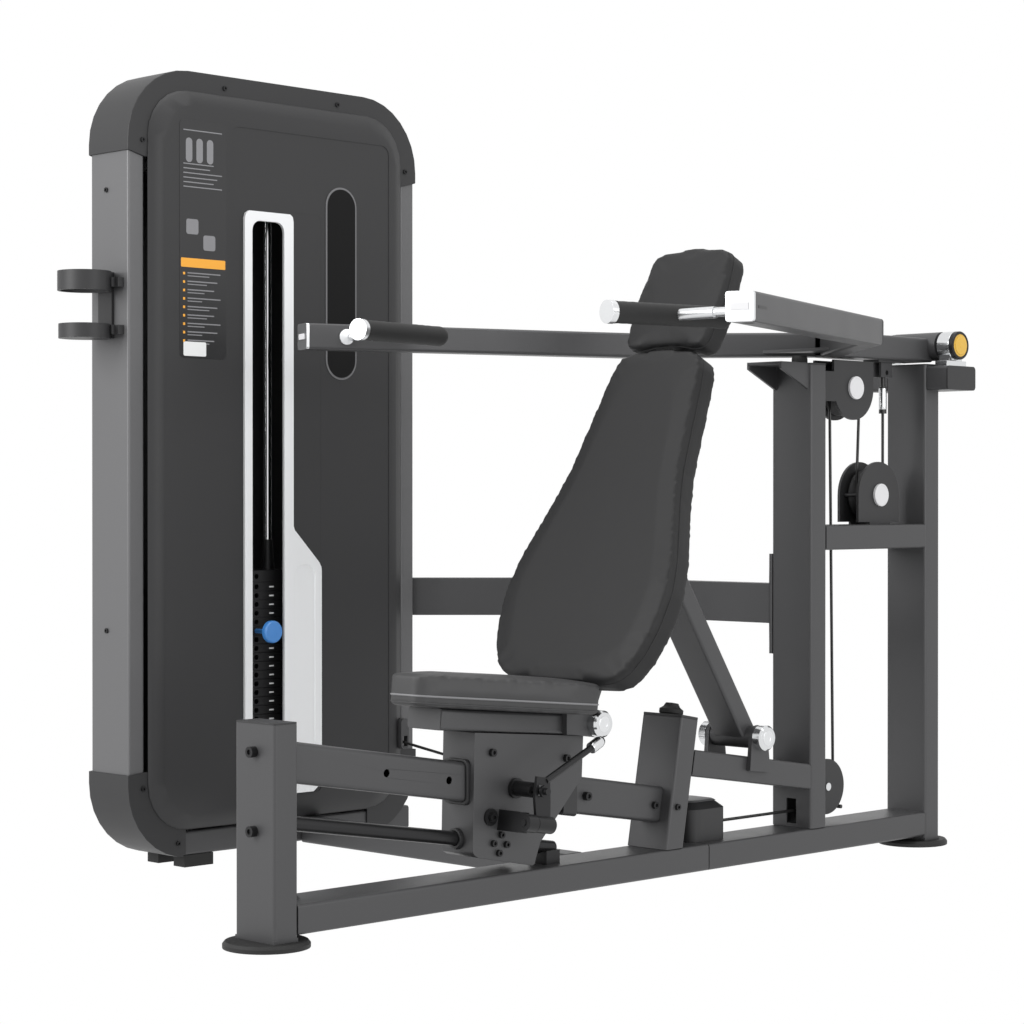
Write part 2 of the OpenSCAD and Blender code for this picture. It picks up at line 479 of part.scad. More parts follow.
module lock_pin() color([0.72,0.73,0.75]) {
    xcyl(25.4, 122, 556, 218.7, 6.25);
    xcyl(109, 114, 556, 218.7, 10.5);
}
module backrest_pivot_pin() color([0.82,0.83,0.85]) {
    xcyl(-74, 74, B[1], B[2], 12);
    both() translate([55.2,B[1],B[2]]) rotate([0,90,0]) rotate_extrude() polygon([[0,0],[24.5,0],[24.5,15],[21,19],[0,19]]);
}
// ---- backrest; local frame: x across, y rearward from the cushion's front
// face, z along the cushion
module back() translate(pad0) rotate([-pad_lean,0,0]) children();
module backrest_frame() color([0.30,0.30,0.31]) difference() {
    union() {
    back() {
        translate([0,78.5,-60]) linear_extrude(660) tube2(60, 40, wall);
        box([-30,58.5,598],[30,98.5,602]);
        // boards behind the cushions
        box([-90,56.5,60],[90,58.5,560]);
        box([-25,62,600],[25,70,860]);
        box([-60,56.5,700],[60,62,860]);
        // boss that sits between the strut's fork plates
        box([-30,98.5,299],[30,118,336]);
        xcyl(-32, 32, 125.2, 317.3, 16);
    }
        xcyl(-42, 42, B[1], B[2], 25);
    }
    xcyl(-43, 43, B[1], B[2], 12.05);
}
back_o = [[72,-14],[121,-12],[140,-6],[160,8],[182,45],[197,100],[202,165],[190,232],[173,285],[152,350],[137,409],[126,490],[114,589],[107,625],[96,645],[72,655]];
head_o = [[-72,666],[-40,672],[0,674],[40,672],[72,666],[92,668],[101,684],[107,760],[99,850],[90,866],[72,873],[0,881],[-72,873],[-90,866],[-99,850],[-107,760],[-101,684],[-92,668]];
module back_pad() color([0.12,0.12,0.12]) back() translate([0,56,0]) rotate([90,0,0]) linear_extrude(back_pad_t) polygon(concat(back_o, [[0,660]], [for (i = [len(back_o)-1:-1:0]) [-back_o[i][0], back_o[i][1]]], [[0,-17]]));
module head_pad() color([0.12,0.12,0.12]) back() translate([0,56,0]) rotate([90,0,0]) linear_extrude(back_pad_t) polygon(head_o);
module backrest_strut() color([0.30,0.30,0.31]) {
    l = norm(Tj-S); a = atan2(S[1]-Tj[1], Tj[2]-S[2]);
    translate(S) rotate([a,0,0]) difference() {
        union() {
            translate([0,0,14]) linear_extrude(l-69) tube2(76, 40, wall);
            xcyl(-49.4, 49.4, 0, 0, 22);
            // fork plates either side of the backrest's boss, with pin heads
            both() {
                along_x(33, 38) polygon([[-17,l-90],[17,l-90],[17,l-40],[14,l],[-14,l],[-17,l-40]]);
                xcyl(33, 38, 0, l, 18);
                xcyl(38, 44, 0, l, 13);
            }
        }
        xcyl(-60, 60, 0, 0, 12.05);
    }
}
// ---- press arm
module arm_core(o) {
    w = arm_s-2*o;
    both() translate([end_c[0],end_c[1],arm_z]) rotate([0,0,splay]) along_y(0, 0, o > 0 ? -1 : 0, 706) polygon(rr(w, w, max(6-o,1.5)));
    both() translate([302.8,1232.6,arm_z]) rotate([0,0,48.55]) along_y(0, 0, -10, o > 0 ? 391 : 395) polygon(rr(w-1, w-1, max(6-o,1.5)));
    along_y(0, arm_z+0.4, 1462, o > 0 ? 1785 : 1800) polygon(rr(80-2*o, 50-2*o, max(6-o,1.5)));
}
module press_arm() color([0.31,0.31,0.32]) {
    difference() {
        union() { arm_core(0); xcyl(-58, 58, P[1], P[2], 30); }
        arm_core(wall);
        both() translate([end_c[0],end_c[1],arm_z]) rotate([0,0,splay]) zcyl(-40, 0, 0, 34, 11);
    }
    xcyl(-93.5, 93.5, P[1], P[2], 15);
    // gusset plate in the joint and the cable lug
    translate([0,0,1022]) linear_extrude(6) polygon([[-118,1392],[118,1392],[20,1478],[-20,1478]]);
    difference() { union() { for (s = [-1,1]) box([s > 0 ? 5 : -11,1660,980],[s > 0 ? 11 : -5,1698,1015]); box([-20,1640,1011],[20,1716,1015.2]); } xcyl(-20, 20, 1680, 990, 5.1); }
}
module arm_end_caps() color([0.80,0.81,0.82]) both() translate([end_c[0],end_c[1],arm_z]) rotate([0,0,splay]) along_y(0, 0, -6, 0) polygon(rr(arm_s, arm_s, 5));
gd = [sin(grip_toe), cos(grip_toe), 0];
g0 = [312, 499.2, arm_z];
module hand_grips() color([0.06,0.06,0.06]) both() difference() { rod(g0+gd*12, g0+gd*262, grip_r); rod(g0+gd*11, g0+gd*256, 14); rod([340,640,arm_z], [380,640,arm_z], 10.2); }
module grip_fittings() color([0.80,0.81,0.82]) both() {
    rod(g0, g0+gd*12, 20);
    rod(g0+gd*12, g0+gd*255, 13.9);
    rod([345,640,arm_z], [430,640,arm_z], 10);
    rod([430,640,arm_z], [488.4,640,arm_z], 8);
    translate([end_c[0],end_c[1],arm_z]) rotate([0,0,splay]) translate([-arm_s/2-0.2,75.4,0]) rotate([0,-90,0]) cylinder(h = 4, r = 15);
}
module arm_cable() color([0.06,0.06,0.06]) {
    xcyl(-4.6, 4.6, 1680, 990, 9);
    zcyl(960, 984, 0, 1680, 5);
    zcyl(905, 961, 0, 1680, 8);
    sweep([for (z = [906,850,790,737]) [0,1680,z]], cab_r, [1,0,0]);
}
// ---- pulleys
module upper_pulley() color([0.10,0.10,0.10]) sheave(0, up_c, up_r, 34);
module lower_pulley() color([0.10,0.10,0.10]) sheave(0, lo_c, lo_r, 34);
module base_pulley() color([0.10,0.10,0.10]) sheave(0, ba_c, ba_r, 24);
module corner_pulley() color([0.10,0.10,0.10]) translate([co_c[0],co_c[1],104]) rotate([0,-90,0]) sheave(0, [0,0], co_r, 24);
module tower_pulley_rear() color([0.10,0.10,0.10]) sheave(stack[0], [tr_y-tp_r,tp_z], tp_r, 30);
module tower_pulley_front() color([0.10,0.10,0.10]) sheave(stack[0], [stack[1]+tp_r,tp_z], tp_r, 30);

place() front_post();
place() base_rail();
place() base_rail_rear();
place() main_post();
place() rear_post();
place() base_crossbar();
place() tower_brace();
place() rail_post();
place() strut_beam();
place() pulley_shelf();
place() bearing_crossbar();
place() seat_rail();
place() guide_rod();
place() feet();
place() post_caps();
place() rubber_bumpers();
place() base_pulley_cover();
place() pillow_blocks();
place() bearing_covers();
place() pulley_guards();
place() pivot_caps();
place() frame_bolts();
place() cable();
place() tower_columns();
place() tower_top_cap();
place() tower_bottom_cap();
place() tower_front_panel();
place() tower_rear_panel();
place() slot_trim();
place() tower_base();
place() stack_guide_rods();
place() resting_plates();
place() cup_holder();
place() carriage_box();
place() carriage_bushings();
place() carriage_bolts();
place() seat_frame();
place() seat_pad();
place() lock_pin_housing();
place() release_lever();
place() lock_pin();
place() backrest_frame();
place() back_pad();
place() head_pad();
place() backrest_pivot_pin();
place() backrest_strut();
place() press_arm();
place() arm_end_caps();
place() hand_grips();
place() grip_fittings();
place() arm_cable();
place() lifted_plates();
place() stack_cable();
place() selector_pin();
place() upper_pulley();
place() lower_pulley();
place() base_pulley();
place() corner_pulley();
place() tower_pulley_rear();
place() tower_pulley_front();
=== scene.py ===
import json
import math
import bmesh
import bpy
import numpy as np
from mathutils import Matrix, Vector

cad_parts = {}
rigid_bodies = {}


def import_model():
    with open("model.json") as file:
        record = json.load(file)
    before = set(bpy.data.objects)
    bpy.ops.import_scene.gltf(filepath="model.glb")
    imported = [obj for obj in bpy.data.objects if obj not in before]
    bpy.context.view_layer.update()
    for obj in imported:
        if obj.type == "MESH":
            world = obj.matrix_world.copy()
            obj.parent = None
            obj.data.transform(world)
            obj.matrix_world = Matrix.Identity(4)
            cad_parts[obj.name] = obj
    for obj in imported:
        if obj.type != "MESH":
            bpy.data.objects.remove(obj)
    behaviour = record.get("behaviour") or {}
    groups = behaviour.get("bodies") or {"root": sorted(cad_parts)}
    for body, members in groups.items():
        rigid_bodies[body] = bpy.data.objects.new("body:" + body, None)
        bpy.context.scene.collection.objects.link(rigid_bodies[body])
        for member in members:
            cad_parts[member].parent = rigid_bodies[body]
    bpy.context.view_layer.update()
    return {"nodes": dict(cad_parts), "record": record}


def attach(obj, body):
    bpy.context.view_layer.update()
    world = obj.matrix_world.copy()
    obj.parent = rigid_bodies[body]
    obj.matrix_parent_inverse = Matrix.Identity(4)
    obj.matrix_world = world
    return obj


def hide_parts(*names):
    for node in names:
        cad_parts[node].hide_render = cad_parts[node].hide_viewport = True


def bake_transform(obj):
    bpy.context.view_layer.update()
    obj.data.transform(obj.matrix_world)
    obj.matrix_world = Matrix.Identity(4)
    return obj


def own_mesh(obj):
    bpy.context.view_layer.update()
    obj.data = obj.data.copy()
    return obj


for o in list(bpy.data.objects):
    bpy.data.objects.remove(o)
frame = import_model()
N = frame["nodes"]
OX, OY = 180.08, -908.5


def P(x, y, z):
    """A point given in the machine's own millimetres, in the row frame."""
    return Vector(((x + OX) / 1000, (y + OY) / 1000, z / 1000))


scene = bpy.context.scene

# ---------------------------------------------------------------- camera
cam_data = bpy.data.cameras.new("camera")
cam = bpy.data.objects.new("camera", cam_data)
scene.collection.objects.link(cam)
scene.camera = cam
cam_data.sensor_width = 36
cam_data.lens = 2537.3 / 1024 * 36
cam.location = P(3191.24, -2602.90, 727.77)
cam.rotation_euler = (math.radians(89.7), 0, math.radians(45.0))
cam_data.clip_start, cam_data.clip_end = 0.1, 60


# ---------------------------------------------------------------- materials
def material(name, base, rough=0.5, metal=0.0, spec=0.5, bump=None, coat=0.0, mottled=0.0, streak=False, emit=None):
    m = bpy.data.materials.new(name)
    m.use_nodes = True
    nt = m.node_tree
    b = nt.nodes["Principled BSDF"]
    b.inputs["Base Color"].default_value = (*base, 1)
    b.inputs["Roughness"].default_value = rough
    b.inputs["Metallic"].default_value = metal
    b.inputs["Specular IOR Level"].default_value = spec
    b.inputs["Coat Weight"].default_value = coat
    b.inputs["Coat Roughness"].default_value = 0.25
    if emit:
        b.inputs["Emission Color"].default_value = (*base, 1)
        b.inputs["Emission Strength"].default_value = emit
    tc = nt.nodes.new("ShaderNodeTexCoord")
    coord = tc.outputs["Object"]
    if streak:
        mp = nt.nodes.new("ShaderNodeMapping")
        mp.inputs["Scale"].default_value = (streak if isinstance(streak, tuple) else (1, 30, 30))
        nt.links.new(coord, mp.inputs["Vector"])
        coord = mp.outputs["Vector"]
    if mottled:
        n = nt.nodes.new("ShaderNodeTexNoise")
        n.inputs["Scale"].default_value = 14
        n.inputs["Detail"].default_value = 6
        nt.links.new(tc.outputs["Object"], n.inputs["Vector"])
        r = nt.nodes.new("ShaderNodeMapRange")
        r.inputs["To Min"].default_value = max(0.02, rough - mottled)
        r.inputs["To Max"].default_value = min(1.0, rough + mottled)
        nt.links.new(n.outputs["Fac"], r.inputs["Value"])
        nt.links.new(r.outputs["Result"], b.inputs["Roughness"])
    height = None
    for kind, scale, strength, dist in bump or []:
        if kind == "noise":
            t = nt.nodes.new("ShaderNodeTexNoise")
            t.inputs["Detail"].default_value = 3
        else:
            t = nt.nodes.new("ShaderNodeTexVoronoi")
            t.feature = "F1"
        t.inputs["Scale"].default_value = scale
        nt.links.new(coord, t.inputs["Vector"])
        bp = nt.nodes.new("ShaderNodeBump")
        bp.inputs["Strength"].default_value = strength
        bp.inputs["Distance"].default_value = dist
        nt.links.new(t.outputs["Fac"] if kind == "noise" else t.outputs["Distance"], bp.inputs["Height"])
        if height is not None:
            nt.links.new(height, bp.inputs["Normal"])
        height = bp.outputs["Normal"]
    if height is not None:
        nt.links.new(height, b.inputs["Normal"])
    return m


GRAIN = [("noise", 1500, 0.25, 0.0004), ("noise", 260, 0.06, 0.001)]
M = {
    "frame_paint": material("frame_paint", (0.058, 0.058, 0.060), 0.42, 0.35, bump=GRAIN, mottled=0.05),
    "tower_paint": material("tower_paint", (0.115, 0.115, 0.118), 0.42, 0.35, bump=GRAIN, mottled=0.05),
    "black_plastic": material("black_plastic", (0.021, 0.021, 0.022), 0.48, spec=0.4, bump=[("noise", 1800, 0.12, 0.0003)], mottled=0.04),
    "rubber": material("rubber", (0.012, 0.012, 0.012), 0.62, spec=0.35, bump=[("noise", 900, 0.2, 0.0004)]),
    "bright_metal": material("bright_metal", (0.70, 0.71, 0.72), 0.16, 1.0, bump=[("noise", 700, 0.03, 0.0002)], mottled=0.04),
    "aluminium": material("aluminium", (0.74, 0.75, 0.76), 0.30, 1.0, bump=[("noise", 500, 0.05, 0.0002)], streak=(1, 1, 25), mottled=0.04),
    "yellow_plastic": material("yellow_plastic", (0.62, 0.38, 0.05), 0.35, bump=[("voronoi", 420, 0.5, 0.0008)]),
    "black_steel": material("black_steel", (0.020, 0.020, 0.021), 0.35, 0.6, bump=[("noise", 1200, 0.1, 0.0002)]),
    "cable_jacket": material("cable_jacket", (0.012, 0.012, 0.012), 0.35, bump=[("noise", 900, 0.05, 0.0002)]),
    "plate_iron": material("plate_iron", (0.017, 0.017, 0.018), 0.45, 0.5, bump=[("noise", 700, 0.2, 0.0004)], mottled=0.05),
    "blue_plastic": material("blue_plastic", (0.045, 0.20, 0.52), 0.35, coat=0.3, bump=[("noise", 1200, 0.04, 0.0002)]),
    "cushion": material("cushion", (0.014, 0.014, 0.0145), 0.56, spec=0.28, bump=[("voronoi", 950, 0.22, 0.0004), ("noise", 60, 0.05, 0.002)], mottled=0.04),
    # seat_cushion: a lighter, shinier copy of the same cushion vinyl; its lighter base colour is painted light for the
    # seat's upturned top
    "seat_cushion": material("seat_cushion", (0.034, 0.034, 0.035), 0.52, spec=0.42, bump=[("voronoi", 950, 0.22, 0.0004), ("noise", 60, 0.05, 0.002)], mottled=0.04),
    "silver_trim": material("silver_trim", (0.80, 0.81, 0.82), 0.42, 0.45, bump=[("noise", 900, 0.04, 0.0002)]),
    "gloss_black": material("gloss_black", (0.006, 0.006, 0.007), 0.12, coat=0.6, bump=[("noise", 30, 0.01, 0.0005)]),
    "badge_black": material("badge_black", (0.0035, 0.0035, 0.0037), 0.55, spec=0.15, bump=[("noise", 400, 0.03, 0.0002)]),
    "label_dark": material("label_dark", (0.010, 0.010, 0.011), 0.30, coat=0.2, bump=[("noise", 200, 0.02, 0.0003)]),
    "label_orange": material("label_orange", (0.80, 0.36, 0.03), 0.4, bump=[("noise", 200, 0.02, 0.0003)]),
    "label_white": material("label_white", (0.72, 0.73, 0.73), 0.45, bump=[("noise", 200, 0.02, 0.0003)]),
    "label_grey": material("label_grey", (0.20, 0.20, 0.21), 0.45, bump=[("noise", 200, 0.02, 0.0003)]),
    "pale_plastic": material("pale_plastic", (0.60, 0.60, 0.61), 0.35, bump=[("noise", 900, 0.05, 0.0002)]),
    "mid_plastic": material("mid_plastic", (0.13, 0.13, 0.135), 0.45, bump=[("noise", 1500, 0.12, 0.0003)]),
    # welt: the seat piping's tube is real, its light grey colour is a painted highlight along the seat's edge
    "welt": material("welt", (0.16, 0.16, 0.165), 0.5, bump=[("noise", 900, 0.1, 0.0003)]),
    "thread": material("thread", (0.045, 0.045, 0.047), 0.6, bump=[("noise", 3000, 0.3, 0.0003)]),
}


# shading of the CAD pieces: sharp edges softened, round faces smooth
def smooth_group():
    g = bpy.data.node_groups.new("smooth_by_angle", "GeometryNodeTree")
    g.interface.new_socket("Geometry", in_out="INPUT", socket_type="NodeSocketGeometry")
    g.interface.new_socket("Geometry", in_out="OUTPUT", socket_type="NodeSocketGeometry")
    gi, go = g.nodes.new("NodeGroupInput"), g.nodes.new("NodeGroupOutput")
    f = g.nodes.new("GeometryNodeSetShadeSmooth")
    f.domain = "FACE"
    f.inputs["Shade Smooth"].default_value = True
    e = g.nodes.new("GeometryNodeSetShadeSmooth")
    e.domain = "EDGE"
    a = g.nodes.new("GeometryNodeInputMeshEdgeAngle")
    c = g.nodes.new("FunctionNodeCompare")
    c.data_type = "FLOAT"
    c.operation = "LESS_THAN"
    c.inputs[1].default_value = math.radians(32)
    g.links.new(gi.outputs[0], f.inputs["Geometry"])
    g.links.new(f.outputs[0], e.inputs["Geometry"])
    g.links.new(a.outputs["Unsigned Angle"], c.inputs[0])
    g.links.new(c.outputs["Result"], e.inputs["Shade Smooth"])
    g.links.new(e.outputs[0], go.inputs[0])
    return g


SMOOTH = smooth_group()


def soften(o, width=0.0012, segments=2):
    for name in ("custom_normal",):
        if name in o.data.attributes:
            o.data.attributes.remove(o.data.attributes[name])
    w = o.modifiers.new("weld", "WELD")
    w.merge_threshold = 0.00002
    if width:
        b = o.modifiers.new("bevel", "BEVEL")
        b.width = width
        b.segments = segments
        b.limit_method = "ANGLE"
        b.angle_limit = math.radians(40)
        b.use_clamp_overlap = True
    s = o.modifiers.new("smooth", "NODES")
    s.node_group = SMOOTH
    n = o.modifiers.new("normals", "WEIGHTED_NORMAL")
    n.keep_sharp = True


slots = {s["node"]: s["material_slot"] for s in frame["record"]["subparts"]}
BEVEL = {"cable": 0, "arm_cable": 0, "stack_cable": 0, "tower_top_cap": 0.003, "tower_bottom_cap": 0.003, "tower_front_panel": 0.002,
         "slot_trim": 0.0018, "cup_holder": 0.0015, "arm_end_caps": 0.0015, "resting_plates": 0.0010, "lifted_plates": 0.0010}
for name, o in N.items():
    o.data.materials.clear()
    o.data.materials.append(M[slots[name]])
    soften(o, BEVEL.get(name, 0.0011))
for name in ("slot_trim",):
    N[name].data.materials[0] = M["silver_trim"]


# ---------------------------------------------------------------- builders
def new_mesh(name, verts, faces, mat, body, bevel=0.0006, segments=2):
    me = bpy.data.meshes.new(name)
    me.from_pydata([tuple(v) for v in verts], [], faces)
    me.update()
    bm = bmesh.new()
    bm.from_mesh(me)
    bmesh.ops.recalc_face_normals(bm, faces=bm.faces)
    bm.to_mesh(me)
    bm.free()
    o = bpy.data.objects.new(name, me)
    scene.collection.objects.link(o)
    me.materials.append(mat)
    soften(o, bevel, segments)
    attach(o, body)
    return o


def prism(name, outline, x0, x1, mat, body, bevel=0.0006):
    """A plate in the Y-Z plane; outline in machine millimetres."""
    n = len(outline)
    v = [P(x0, y, z) for y, z in outline] + [P(x1, y, z) for y, z in outline]
    f = [list(range(n))[::-1], list(range(n, 2 * n))] + [[i, (i + 1) % n, n + (i + 1) % n, n + i] for i in range(n)]
    return new_mesh(name, v, f, mat, body, bevel)


def rounded(y0, y1, z0, z1, r, n=6):
    out = []
    for cy, cz, a in ((y1 - r, z1 - r, 0), (y0 + r, z1 - r, 90), (y0 + r, z0 + r, 180), (y1 - r, z0 + r, 270)):
        out += [(cy + r * math.cos(math.radians(a + 90 * i / n)), cz + r * math.sin(math.radians(a + 90 * i / n))) for i in range(n + 1)]
    return out


def lathe(name, origin, axis, profile, mat, body, n=48, bevel=0):
    """profile: (distance along the axis, radius) in mm; origin in machine mm."""
    a = Vector(axis).normalized()
    u = a.orthogonal().normalized()
    w = a.cross(u)
    o = P(*origin)
    v, f = [], []
    for d, r in profile:
        for k in range(n):
            t = 2 * math.pi * k / n
            v.append(o + a * (d / 1000) + (u * math.cos(t) + w * math.sin(t)) * (max(r, 0.01) / 1000))
    for i in range(len(profile) - 1):
        for k in range(n):
            f.append([i * n + k, i * n + (k + 1) % n, (i + 1) * n + (k + 1) % n, (i + 1) * n + k])
    f.append(list(range(n))[::-1])
    f.append([(len(profile) - 1) * n + k for k in range(n)])
    return new_mesh(name, v, f, mat, body, bevel)


def boxes(name, items, mat, body, bevel=0.0002):
    """Several small blocks in one piece: (x0,x1,y0,y1,z0,z1) in machine mm."""
    v, f = [], []
    for x0, x1, y0, y1, z0, z1 in items:
        b = len(v)
        v += [P(x, y, z) for x in (x0, x1) for y in (y0, y1) for z in (z0, z1)]
        f += [[b + i for i in q] for q in ((0, 1, 3, 2), (4, 6, 7, 5), (0, 4, 5, 1), (2, 3, 7, 6), (0, 2, 6, 4), (1, 5, 7, 3))]
    return new_mesh(name, v, f, mat, body, bevel, 1)


# ---------------------------------------------------------------- tower marks
prism("label_plate", rounded(447, 563, 1004, 1471, 10), -778.0, -777.3, M["label_dark"], "frame", 0.0002)
rows = []
z = 1452
for i in range(7):  # rows of short bars in place of words
    rows.append((-777.4, -777.0, 456, 456 + (96 if i % 3 == 0 else 84 - 9 * (i % 4)), z - 2.2, z))
    z -= 9 if i else 66
for k in range(9):
    zz = 1172 - 16.5 * k
    rows.append((-777.4, -777.0, 466, 548 - 8 * (k % 3), zz - 2.4, zz))
    rows.append((-777.4, -777.0, 466, 520 - 6 * (k % 4), zz - 8.0, zz - 6.0))
boxes("label_bars", rows, M["label_grey"], "frame")
boxes("label_dots", [(-777.4, -776.9, 455, 460, 1172 - 16.5 * k - 5, 1172 - 16.5 * k) for k in range(9)], M["label_orange"], "frame")
prism("label_strip", rounded(450, 560, 1182, 1200, 2), -777.4, -776.9, M["label_orange"], "frame", 0.0002)
prism("label_tag", rounded(456, 512, 1008, 1036, 3), -777.4, -776.9, M["label_white"], "frame", 0.0002)
for i, y in enumerate((470, 496, 522)):  # small blank figures on the label
    prism(f"label_figure_{i}", rounded(y - 8, y + 8, 1388, 1436, 7.5), -777.4, -776.9, M["label_grey"], "frame", 0.0002)
for i, (y, zz) in enumerate(((478, 1262), (520, 1232))):
    prism(f"label_figure_b{i}", rounded(y - 15, y + 15, zz - 15, zz + 15, 5), -777.4, -776.9, M["label_grey"], "frame", 0.0002)
prism("badge_rim", rounded(824, 908, 974, 1372, 41, 12), -779.0, -777.6, M["mid_plastic"], "frame", 0.0005)
prism("badge_face", rounded(828, 904, 978, 1368, 37.5, 12), -777.7, -776.9, M["badge_black"], "frame", 0.0004)
# recessed line of screw-head marks on the trim
prism("trim_inlay", rounded(739, 786, 300, 570, 20, 8), -778.2, -776.6, M["label_white"], "frame", 0.0004)
boxes("trim_ticks", [(-776.7, -776.2, 753, 772, 330 + 26 * k, 333 + 26 * k) for k in range(9)], M["label_dark"], "frame")
# plain ticks on the plates
boxes("plate_ticks", [(-811.1, -810.6, 700, 712, 582 - 24 - 17.9 * k - 11, 582 - 24 - 17.9 * k - 8) for k in range(6)], M["label_white"], "lifted_stack")
boxes("plate_ticks_low", [(-811.1, -810.6, 700, 712, 582 - 24 - 17.9 * k - 11, 582 - 24 - 17.9 * k - 8) for k in range(6, 20)], M["label_white"], "frame")

# ---------------------------------------------------------------- small fittings
for c, y, zz in (("upper", 1551, 953.8), ("lower", 1635, 735.4)):
    for s, sx in (("l", 1), ("r", -1)):
        lathe(f"{c}_guard_cap_{s}", (31 * sx, y, zz), (sx, 0, 0), [(-3.8, 23.4), (0.6, 23.4), (1.4, 22.4), (1.6, 19), (1.0, 18), (1.0, 0)], M["pale_plastic"], "frame")
for s, sx in (("l", 1), ("r", -1)):
    lathe(f"bearing_ring_{s}", (104 * sx, 1810, 1048), (sx, 0, 0), [(-10, 29.6), (-1.5, 29.6), (0.4, 28.4), (0.8, 25.6), (-0.4, 24.4), (-0.5, 19)], M["black_steel"], "frame")
    lathe(f"bearing_disc_{s}", (103.6 * sx, 1810, 1048), (sx, 0, 0), [(0, 19.6), (1.2, 19.6), (2.2, 18.6), (2.6, 15), (2.2, 14), (2.2, 6), (3.0, 5.2), (3.0, 0)], M["yellow_plastic"], "frame")
for part, body, x, y, zz in (("strut", "frame", 80.2, 1207.5, 265.3), ("hinge", "backrest", 74.2, 750, 321)):
    for s, sx in (("l", 1), ("r", -1)):
        lathe(f"{part}_cap_disc_{s}", (x * sx, y, zz), (sx, 0, 0), [(-0.3, 14.5), (0.5, 14.2), (0.9, 13.4), (0.9, 7), (0.4, 6.2), (0.4, 0)], M["aluminium"], body)
ct, st = math.cos(math.radians(9.2)), math.sin(math.radians(9.2))


def lever_pt(x, y, z):
    return (x, 520 + y * ct + z * st, 166 - y * st + z * ct)


p0, p1 = Vector(lever_pt(103.8, 141, 142)), Vector(lever_pt(104, 163, 157))
d = (p1 - p0).normalized()
lathe("lever_tip", tuple(p0), tuple(d), [(0, 7), (0.5, 10.0), (2, 10.6), (22, 10.6), (27, 10.0), (32, 7.5), (35.5, 3.5), (36.6, 0)], M["bright_metal"], "lever")
prism_top = [(x, y) for x, y in rounded(-74, 10, 1063, 1147, 20)]
v = [P(x, y, 146.4) for x, y in prism_top] + [P(-32 + (x + 32) * 0.86, 1105 + (y - 1105) * 0.86, 149.4) for x, y in prism_top]
n = len(prism_top)
new_mesh("base_cover_top", v, [list(range(n))[::-1], list(range(n, 2 * n))] + [[i, (i + 1) % n, n + (i + 1) % n, n + i] for i in range(n)], M["mid_plastic"], "frame", 0.001)

# hand grips with a rounded rear end
toe = math.radians(10)
for s, sx in (("l", 1), ("r", -1)):
    prof = [(12, 14), (12, 17.2), (13, 18.8), (16, 19.3), (24, 18.6)]
    prof += [(24 + 10 * i, 18.6 + (0.35 if i % 2 else 0.0)) for i in range(1, 21)]
    prof += [(236, 19.0), (248, 19.2), (254, 18.4), (259, 15.6), (262, 11), (263.6, 5), (264, 0)]
    g = lathe(f"grip_sleeve_{s}", (312 * sx, 499.2, 1039.6), (math.sin(toe) * sx, math.cos(toe), 0), prof, M["rubber"], "press_arm")
    if s == "l":
        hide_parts("hand_grips")
    # light strip on the aluminium end cap
    ca, sa = math.cos(math.radians(20)), math.sin(math.radians(20))

    def tip(a, b, z):
        return P(sx * (544.3 + a * ca - b * sa), 569.2 + a * sa + b * ca, z)

    v = [tip(a, b, zz) for b in (-6.2, -7.4) for a, zz in ((-15, 1034), (15, 1034), (15, 1045), (-15, 1045))]
    new_mesh(f"arm_cap_strip_{s}", v, [[0, 1, 2, 3], [4, 7, 6, 5], [0, 4, 5, 1], [1, 5, 6, 2], [2, 6, 7, 3], [3, 7, 4, 0]], M["pale_plastic"], "press_arm", 0.0004)
    # a thin black sheet on the arm's side: painted shade standing in for the recessed slot
    v = [tip(a, b, zz) for a in (25.0, 25.5) for b, zz in ((14, 1037), (54, 1037), (54, 1042), (14, 1042))]
    new_mesh(f"arm_side_slot_shade_{s}", v, [[0, 1, 2, 3], [4, 7, 6, 5], [0, 4, 5, 1], [1, 5, 6, 2], [2, 6, 7, 3], [3, 7, 4, 0]], M["black_steel"], "press_arm", 0.0002)


# ---------------------------------------------------------------- cushions
def apply_mods(o):
    dg = bpy.context.evaluated_depsgraph_get()
    me = bpy.data.meshes.new_from_object(o.evaluated_get(dg), depsgraph=dg)
    o.modifiers.clear()
    o.data = me


